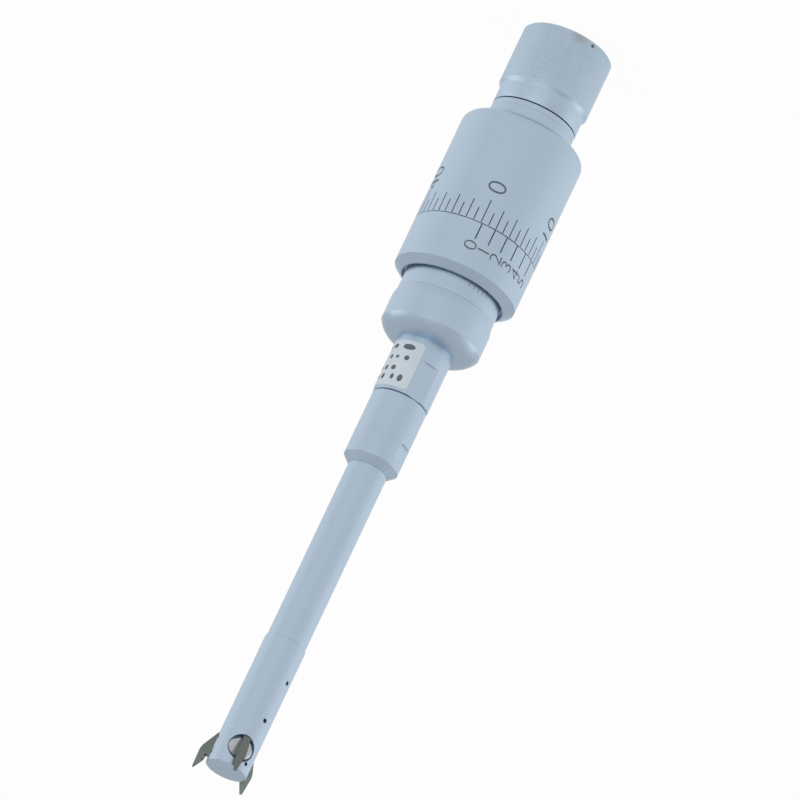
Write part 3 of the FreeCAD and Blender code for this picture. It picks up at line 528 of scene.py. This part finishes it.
def add_bar(shape, down, around, out, radius, heading, height):
    """Add one bar of ink, wrapped on the radius. Down, around and out are its sizes."""
    bar = bmesh.new()
    bmesh.ops.create_cube(bar, size=1, matrix=Matrix.Diagonal((down, around, out, 1)))
    wrap(bar.verts, radius, heading, height)
    add_shape(shape, bar)


def flat_text(words):
    """A text as a closed flat shape centred on the origin, and its three sizes."""
    curve = bpy.data.curves.new("numeral", "FONT")
    curve.body = words
    curve.extrude = 0.5
    curve.offset = STROKE_OFFSET
    curve.resolution_u = 6
    holder = bpy.data.objects.new("numeral", curve)
    bpy.context.scene.collection.objects.link(holder)
    seen = holder.evaluated_get(bpy.context.evaluated_depsgraph_get())
    mesh = bpy.data.meshes.new_from_object(seen)
    shape = bmesh.new()
    shape.from_mesh(mesh)
    bpy.data.objects.remove(holder)
    bpy.data.curves.remove(curve)
    bpy.data.meshes.remove(mesh)
    bmesh.ops.remove_doubles(shape, verts=shape.verts, dist=1e-5)
    low = Vector([min(vert.co[axis] for vert in shape.verts) for axis in range(3)])
    high = Vector([max(vert.co[axis] for vert in shape.verts) for axis in range(3)])
    bmesh.ops.translate(shape, verts=shape.verts, vec=-(low + high) / 2)
    return shape, high - low


def add_numeral(shape, numeral, height, width, sizes, heading, place):
    """Wrap a numeral on the drum. The height and the width are those of the figure 0."""
    zero, span = flat_text("0")
    zero.free()
    flat, own = flat_text(numeral)
    ink = sizes.proud + sizes.sunk
    bmesh.ops.scale(flat, verts=flat.verts,
                    vec=(width / span.x, height / span.y, ink / span.z))
    slice_across(flat, height, INK_SLICES)
    bmesh.ops.triangulate(flat, faces=flat.faces)
    bmesh.ops.translate(flat, verts=flat.verts, vec=(0, 0, (sizes.proud - sizes.sunk) / 2))
    wrap(flat.verts, DRUM_RADIUS, heading, place)
    add_shape(shape, flat)


class MICROMETER_OT_finishes(bpy.types.Operator):
    """Give every piece of the frame its finish"""

    bl_idname = "micrometer.finishes"
    bl_label = "Finishes"

    def execute(self, context):
        colours = settings("colours")
        finishes = {
            "satin_chrome": satin_chrome("satin_chrome", colours.chrome, colours.chrome_light),
            "ground_steel": ground_steel(colours),
            # Painted shade: the blades' colour is carbide grey deepened to look shaded.
            "hard_metal": speckled_metal("hard_metal", colours.hard, 0.38),
            "dark_steel": speckled_metal("dark_steel", colours.black, 0.45),
            "spring_steel": speckled_metal("spring_steel", colours.spring, 0.3),
            "bronze": speckled_metal("bronze", colours.bronze, 0.3, speck=0.8),
            "knurled_chrome": knurl_chrome(colours),
            "paper_label": coated_paper(colours),
            "ink": dull_ink("engraved_ink", colours.ink),
            "pale_ink": dull_ink("pale_ink", colours.pale_ink),
        }
        for row in frame["record"]["subparts"]:
            node = frame["nodes"][row["node"]]
            material = finishes[row["material_slot"]]
            for slot in node.material_slots:
                slot.link = "OBJECT"
                slot.material = material
        return {"FINISHED"}


class MICROMETER_OT_knob(bpy.types.Operator):
    """Make the knurled knob, with its recess, its cavity and the hole for the plunger"""

    bl_idname = "micrometer.knob"
    bl_label = "Knurled knob"

    def execute(self, context):
        sizes = settings("knob")
        slope = sizes.grip + NECK_SLOPE * (KNOB_RADIUS - sizes.neck_radius)
        columns = POINTS_PER_TOOTH * sizes.teeth
        shape = spin_outline([
            (sizes.recess_radius, 0),
            (KNOB_RADIUS - sizes.chamfer, 0),
            (KNOB_RADIUS, sizes.chamfer),
            (KNOB_RADIUS, sizes.grip),
            (sizes.neck_radius, slope),
            (sizes.neck_radius, KNOB_TOP),
            (sizes.cavity_radius, KNOB_TOP),
            (sizes.cavity_radius, sizes.cavity_floor),
            (sizes.stud_hole, sizes.cavity_floor),
            (sizes.stud_hole, sizes.recess_depth),
            (sizes.recess_radius, sizes.recess_depth),
        ], columns, sizes.edge)
        grooves = []
        for vert in shape.verts:
            column = round(math.atan2(vert.co.y, vert.co.x) / TURN * columns)
            on_grip = vert.co.xy.length > KNOB_RADIUS - 0.05 * MM
            if on_grip and column % POINTS_PER_TOOTH == 0:
                grooves.append(vert)
        inwards = 1 - sizes.tooth_depth / KNOB_RADIUS
        bmesh.ops.scale(shape, vec=(inwards, inwards, 1), verts=grooves)
        piece = make_piece(shape, "knurled_knob", bpy.data.materials["knob_chrome"], "knob",
                           ["ratchet_knob"])
        drill = bmesh.new()
        depth = sizes.cavity_floor - sizes.plunger_floor + MM
        place = Matrix.Translation((sizes.plunger_circle, 0, sizes.plunger_floor + depth / 2))
        bmesh.ops.create_cone(drill, cap_ends=True, segments=32, radius1=sizes.plunger_hole,
                              radius2=sizes.plunger_hole, depth=depth, matrix=place)
        drill_through(piece, drill)
        smooth_by_angle(piece, 28)
        return {"FINISHED"}


def drill_through(piece, drill):
    """Cut the drill's shape out of a piece for good."""
    mesh = bpy.data.meshes.new("drill")
    drill.to_mesh(mesh)
    drill.free()
    tool = bpy.data.objects.new("drill", mesh)
    bpy.context.scene.collection.objects.link(tool)
    cut = piece.modifiers.new("hole", "BOOLEAN")
    cut.operation = "DIFFERENCE"
    cut.solver = "EXACT"
    cut.object = tool
    seen = piece.evaluated_get(bpy.context.evaluated_depsgraph_get())
    drilled = bpy.data.meshes.new_from_object(seen)
    piece.modifiers.clear()
    piece.data = drilled
    bpy.data.objects.remove(tool)


class MICROMETER_OT_main_scale(bpy.types.Operator):
    """Cut the main scale and its numerals into the thimble"""

    bl_idname = "micrometer.main_scale"
    bl_label = "Main scale"

    def execute(self, context):
        sizes = settings("scales")
        ink = sizes.proud + sizes.sunk
        radius = DRUM_RADIUS + (sizes.proud - sizes.sunk) / 2
        end = DRUM_SPLIT - MAIN_LINE_GAP
        lines = bmesh.new()
        numerals = bmesh.new()
        for number in range(sizes.divisions):
            heading = sizes.zero - TURN * number / sizes.divisions
            reach = sizes.medium if number % 2 == 0 else sizes.short
            if number % 10 == 0:
                reach = sizes.long
                add_numeral(numerals, str(number), sizes.numeral_height, sizes.numeral_width,
                            sizes, heading, DRUM_SPLIT - sizes.numeral_drop)
            add_bar(lines, reach, sizes.thin, ink, radius, heading, end - reach / 2)
        make_piece(lines, "main_scale_lines", bpy.data.materials["engraved_ink"], "drum")
        make_piece(numerals, "main_scale_numerals", bpy.data.materials["pale_ink"], "drum")
        return {"FINISHED"}


class MICROMETER_OT_vernier_scale(bpy.types.Operator):
    """Cut the vernier lines and their numerals into the vernier ring"""

    bl_idname = "micrometer.vernier_scale"
    bl_label = "Vernier scale"

    def execute(self, context):
        sizes = settings("scales")
        ink = sizes.proud + sizes.sunk
        radius = DRUM_RADIUS + (sizes.proud - sizes.sunk) / 2
        start = DRUM_SPLIT + VERNIER_LINE_GAP
        lines = bmesh.new()
        numerals = bmesh.new()
        for number in range(sizes.vernier_lines):
            heading = sizes.vernier_zero - sizes.vernier_step * number
            add_bar(lines, sizes.vernier_line, sizes.thick, ink, radius, heading,
                    start + sizes.vernier_line / 2)
            add_numeral(numerals, str(number), sizes.vernier_numeral_height,
                        sizes.vernier_numeral_width, sizes, heading + sizes.numeral_turn,
                        DRUM_SPLIT + sizes.vernier_numeral_rise)
        make_piece(lines, "vernier_lines", bpy.data.materials["engraved_ink"], "vernier")
        make_piece(numerals, "vernier_numerals", bpy.data.materials["pale_ink"], "vernier")
        return {"FINISHED"}


class MICROMETER_OT_sleeve_lines(bpy.types.Operator):
    """Cut the fine lines on the sleeve that show past the drum's rim"""

    bl_idname = "micrometer.sleeve_lines"
    bl_label = "Sleeve lines"

    def execute(self, context):
        sizes = settings("scales")
        ink = sizes.proud + sizes.sunk
        radius = SLEEVE_RADIUS + (sizes.proud - sizes.sunk) / 2
        lines = bmesh.new()
        for number in range(sizes.sleeve_lines):
            heading = sizes.sleeve_start - sizes.sleeve_step * number
            add_bar(lines, sizes.sleeve_line, sizes.thin / 2, ink, radius, heading,
                    DRUM_RIM + SLEEVE_LINE_GAP + sizes.sleeve_line / 2)
        make_piece(lines, "sleeve_lines", bpy.data.materials["pale_ink"], "frame")
        return {"FINISHED"}


class MICROMETER_OT_label(bpy.types.Operator):
    """Make the paper label on the neck, with rows of plain blots as its print"""

    bl_idname = "micrometer.label"
    bl_label = "Paper label"

    def execute(self, context):
        sizes = settings("label")
        tall = LABEL_HIGH.z - LABEL_LOW.z
        wide = sizes.sweep * sizes.radius
        shape = bmesh.new()
        made = bmesh.ops.create_grid(shape, x_segments=1, y_segments=1, size=0.5,
                                     matrix=Matrix.Diagonal((tall, wide, 1, 1)))
        bmesh.ops.bevel(shape, geom=made["verts"], offset=sizes.corner, offset_type="OFFSET",
                        segments=6, profile=0.5, affect="VERTICES", material=-1)
        slice_across(shape, wide, LABEL_SLICES)
        bmesh.ops.recalc_face_normals(shape, faces=shape.faces)
        bmesh.ops.solidify(shape, geom=shape.faces[:], thickness=sizes.paper)
        lowest = min(vert.co.z for vert in shape.verts)
        bmesh.ops.translate(shape, verts=shape.verts, vec=(0, 0, -lowest))
        bmesh.ops.recalc_face_normals(shape, faces=shape.faces)
        heading = sizes.start + sizes.sweep / 2
        wrap(shape.verts, sizes.radius, heading, (LABEL_LOW.z + LABEL_HIGH.z) / 2)
        piece = make_piece(shape, "paper_label", bpy.data.materials["label_paper"], "frame",
                           ["number_label"])
        smooth_by_angle(piece, 40)
        self.make_print(sizes, heading)
        return {"FINISHED"}

    def make_print(self, sizes, heading):
        """Print the rows of plain blots on the paper."""
        shape = bmesh.new()
        for down, blots in PRINT_ROWS:
            for place, span, tall in blots:
                blot = bmesh.new()
                size = Matrix.Diagonal((tall * MM / 2, span * MM / 2, 1, 1))
                bmesh.ops.create_cone(blot, cap_ends=True, segments=16, radius1=1, radius2=1,
                                      depth=2 * sizes.print_height, matrix=size)
                slice_across(blot, span * MM, INK_SLICES)
                wrap(blot.verts, sizes.radius + sizes.paper, heading + place * MM / sizes.radius,
                     LABEL_LOW.z + down * MM)
                add_shape(shape, blot)
        make_piece(shape, "label_print", bpy.data.materials["pale_ink"], "frame")


def wind_wire(radius, wire, start, sweep, steps, rise=0.0):
    """A closed round wire wound round the axis from a start angle, rising at each step."""
    shape = bmesh.new()
    place = Matrix.Rotation(start, 4, "Z") @ Matrix.Translation((radius, 0, 0))
    place = place @ Matrix.Rotation(TURN / 4, 4, "X")
    made = bmesh.ops.create_circle(shape, cap_ends=True, segments=10, radius=wire / 2,
                                   matrix=place)
    bmesh.ops.spin(shape, geom=shape.faces[:] + shape.edges[:] + made["verts"], cent=(0, 0, 0),
                   axis=(0, 0, 1), dvec=(0, 0, rise), angle=sweep, steps=steps, use_duplicate=True)
    bmesh.ops.remove_doubles(shape, verts=shape.verts, dist=1e-7)
    bmesh.ops.recalc_face_normals(shape, faces=shape.faces)
    return shape


class MICROMETER_OT_springs(bpy.types.Operator):
    """Wind the two coil springs and the ring that pulls the anvils in, all from round wire"""

    bl_idname = "micrometer.springs"
    bl_label = "Springs"

    def execute(self, context):
        sizes = settings("wire")
        spring = self.make_coil("rod_return_spring", sizes.rod_wire, 8)
        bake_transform(spring)
        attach(self.make_coil("ratchet_spring", sizes.ratchet_wire, 4), "knob")
        for index, body in enumerate(("anvil_a", "anvil_b", "anvil_c")):
            for side in (-1, 1):
                self.make_half_arc(sizes, body, TURN * (index / 3 - 0.25), side)
        return {"FINISHED"}

    def make_coil(self, node, wire, turns):
        """A coil spring that fills the box of the node it replaces."""
        low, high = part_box(node)
        middle = (low + high) / 2
        steps = COIL_STEPS * turns
        rise = (high.z - low.z - wire) / steps
        shape = wind_wire((high.x - low.x - wire) / 2, wire, 0, TURN * turns, steps, rise)
        bmesh.ops.translate(shape, verts=shape.verts, vec=(middle.x, middle.y, low.z + wire / 2))
        piece = make_piece(shape, node + "_wire", bpy.data.materials["spring_steel"], None,
                           [node])
        smooth_by_angle(piece, 50)
        return piece

    def make_half_arc(self, sizes, body, middle, side):
        """One sixth of the ring, running from its anvil's middle, and named after that anvil."""
        low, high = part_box("anvil_return_ring")
        level = (low.z + high.z) / 2
        radius = -low.x - sizes.ring_wire / 2
        gap = sizes.ring_wire / radius
        far = TURN / 6
        runs = [(0, far)]
        if abs(middle + side * far / 2) < gap:
            runs = [(0, far / 2 - gap), (far / 2 + gap, far)]
        for number, (start, stop) in enumerate(runs):
            shape = wind_wire(radius, sizes.ring_wire, middle + side * start,
                              side * (stop - start), ARC_STEPS)
            bmesh.ops.translate(shape, verts=shape.verts, vec=(0, 0, level))
            end = "low" if side < 0 else "high"
            piece = make_piece(shape, f"return_ring_{body}_{end}_{number}",
                               bpy.data.materials["spring_steel"], None,
                               ["anvil_return_ring"])
            smooth_by_angle(piece, 50)
            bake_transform(piece)


class MICROMETER_OT_stage(bpy.types.Operator):
    """Set up the floor, the soft lamps and the camera"""

    bl_idname = "micrometer.stage"
    bl_label = "Stage"

    def execute(self, context):
        sizes = settings("stage")
        self.make_floor(sizes)
        self.make_world(context.scene, sizes)
        self.make_lamps(sizes)
        self.make_camera(context.scene, sizes)
        context.scene.view_settings.view_transform = "Standard"
        return {"FINISHED"}

    def make_floor(self, sizes):
        """A white floor that keeps the part's shadow and is a soft grey in its reflections."""
        shape = bmesh.new()
        bmesh.ops.create_grid(shape, x_segments=1, y_segments=1, size=sizes.floor)
        mesh = bpy.data.meshes.new("floor")
        shape.to_mesh(mesh)
        shape.free()
        floor = bpy.data.objects.new("floor", mesh)
        bpy.context.scene.collection.objects.link(floor)
        finish = Finish("white_floor", Roughness=0.9)
        finish.set("Base Color", (0.9, 0.9, 0.9))
        seen = finish.node("ShaderNodeLightPath", output="Is Camera Ray")
        mirrored = finish.node("ShaderNodeLightPath", output="Is Glossy Ray")
        camera_way = (math.cos(sizes.heading), math.sin(sizes.heading), 0)
        outwards = finish.node("ShaderNodeVectorMath", {"operation": "NORMALIZE"},
                               {0: finish.place()})
        facing = finish.node("ShaderNodeVectorMath", {"operation": "DOT_PRODUCT"},
                             {0: outwards, 1: camera_way}, output="Value")
        gain = sizes.floor_behind - sizes.floor_front
        reflected = facing.fade(-0.5, 0.95) * gain + sizes.floor_front
        tone = finish.blend(seen, finish.blend(reflected, (0, 0, 0), WHITE), WHITE)
        white = finish.node("ShaderNodeEmission", {}, {"Color": tone, "Strength": 1.0})
        plain = Signal(finish, finish.shader.outputs[0])
        mask = seen * (1 - sizes.floor_shade) + mirrored
        mixed = finish.node("ShaderNodeMixShader", {}, {0: mask, 1: plain, 2: white})
        finish.feed(finish.tree.nodes["Material Output"].inputs["Surface"], mixed)
        mesh.materials.append(finish.material)

    def make_world(self, scene, sizes):
        """A white room that lights the part at the sky's brightness."""
        world = bpy.data.worlds.new("studio")
        world.use_nodes = True
        scene.world = world
        nodes = Nodes(world.node_tree)
        background = nodes.tree.nodes["Background"]
        seen = nodes.node("ShaderNodeLightPath", output="Is Camera Ray")
        strength = nodes.node("ShaderNodeMapRange", {}, {0: seen, 3: sizes.sky, 4: 1.0})
        nodes.feed(background.inputs["Color"], WHITE)
        nodes.feed(background.inputs["Strength"], strength)

    def make_lamps(self, sizes):
        """Soft lamps round the part, all aimed at the point in the picture's middle."""
        for name, turn, height, power in LAMPS:
            light = bpy.data.lights.new(name, "AREA")
            light.shape = "SQUARE"
            light.size = sizes.lamp
            light.energy = getattr(sizes, power)
            lamp = bpy.data.objects.new(name, light)
            bpy.context.scene.collection.objects.link(lamp)
            heading = sizes.heading + math.radians(turn)
            spot = Vector((math.cos(heading), math.sin(heading), height)) * sizes.lamp_distance
            lamp.location = spot
            aim = Vector((0, 0, sizes.aim)) - spot
            lamp.rotation_euler = aim.to_track_quat("-Z", "Y").to_euler()

    def make_camera(self, scene, sizes):
        """The camera at the photograph's angle, rolled so that the knob is at the upper right."""
        towards = Vector((math.cos(sizes.rise) * math.cos(sizes.heading),
                          math.cos(sizes.rise) * math.sin(sizes.heading), math.sin(sizes.rise)))
        ahead = -towards
        down = Vector((0, 0, -1))
        knob_way = (down - ahead * down.dot(ahead)).normalized()
        side_way = ahead.cross(knob_way)
        up = knob_way * math.cos(sizes.roll) - side_way * math.sin(sizes.roll)
        right = ahead.cross(up)
        camera_data = bpy.data.cameras.new("camera")
        camera_data.lens = camera_data.sensor_width * sizes.distance / sizes.width
        camera_data.clip_start = CAMERA_NEAR
        camera_data.clip_end = CAMERA_FAR
        camera = bpy.data.objects.new("camera", camera_data)
        scene.collection.objects.link(camera)
        turn = Matrix((right, up, towards)).transposed().to_4x4()
        place = towards * sizes.distance + right * sizes.across + up * sizes.upward
        camera.matrix_world = Matrix.Translation(place + Vector((0, 0, sizes.aim))) @ turn
        scene.camera = camera


class MICROMETER_PT_panel(bpy.types.Panel):
    """The pieces of the micrometer, in the sidebar of the 3D view"""

    bl_label = "Bore micrometer"
    bl_space_type = "VIEW_3D"
    bl_region_type = "UI"
    bl_category = "Micrometer"

    def draw(self, context):
        for step in STEPS:
            self.layout.operator(step.bl_idname)
        for group, kind in GROUPS.items():
            box = self.layout.box()
            box.label(text=group.capitalize())
            for name in kind.__annotations__:
                box.prop(settings(group), name)


STEPS = (
    MICROMETER_OT_finishes,
    MICROMETER_OT_knob,
    MICROMETER_OT_main_scale,
    MICROMETER_OT_vernier_scale,
    MICROMETER_OT_sleeve_lines,
    MICROMETER_OT_label,
    MICROMETER_OT_springs,
    MICROMETER_OT_stage,
)


def register():
    for kind in (*GROUPS.values(), *STEPS, MICROMETER_PT_panel):
        bpy.utils.register_class(kind)
    for group, kind in GROUPS.items():
        setattr(bpy.types.Scene, "micrometer_" + group, PointerProperty(type=kind))


def unregister():
    for group in GROUPS:
        delattr(bpy.types.Scene, "micrometer_" + group)
    for kind in reversed((*GROUPS.values(), *STEPS, MICROMETER_PT_panel)):
        bpy.utils.unregister_class(kind)


def main():
    register()
    bpy.ops.micrometer.finishes()
    bpy.ops.micrometer.knob()
    bpy.ops.micrometer.main_scale()
    bpy.ops.micrometer.vernier_scale()
    bpy.ops.micrometer.sleeve_lines()
    bpy.ops.micrometer.label()
    bpy.ops.micrometer.springs()
    bpy.ops.micrometer.stage()
    bpy.context.view_layer.update()


if __name__ == "__main__":
    main()
